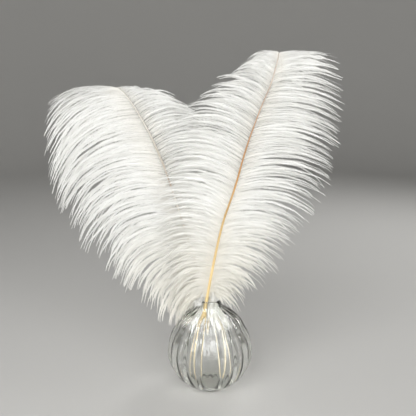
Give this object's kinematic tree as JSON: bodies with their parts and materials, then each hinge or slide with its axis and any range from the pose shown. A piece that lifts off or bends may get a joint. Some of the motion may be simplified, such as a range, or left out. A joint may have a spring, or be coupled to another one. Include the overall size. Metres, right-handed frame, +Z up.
{
  "type": "ostrich feathers in a glass bud vase",
  "caption": "White ostrich plumes with curled tips and long drooping barbs, standing in a small round ribbed vase of clear glass.",
  "frame": {"origin": "centre of the flat base of the vase, on the surface it stands on", "axes": "+Z up, -Y towards the viewer of the picture, +X to the right in that view"},
  "size_m": [0.3082, 0.1428, 0.3493],
  "materials": {
    "clear_glass": "gloss, clear with a faint grey-green cast",
    "feather": "soft matt white barbs on a pale gold shaft"
  },
  "bodies": {
    "root": {"glass_vase": "clear_glass", "feather_right": "feather", "feather_left": "feather"}
  },
  "joints": []
}
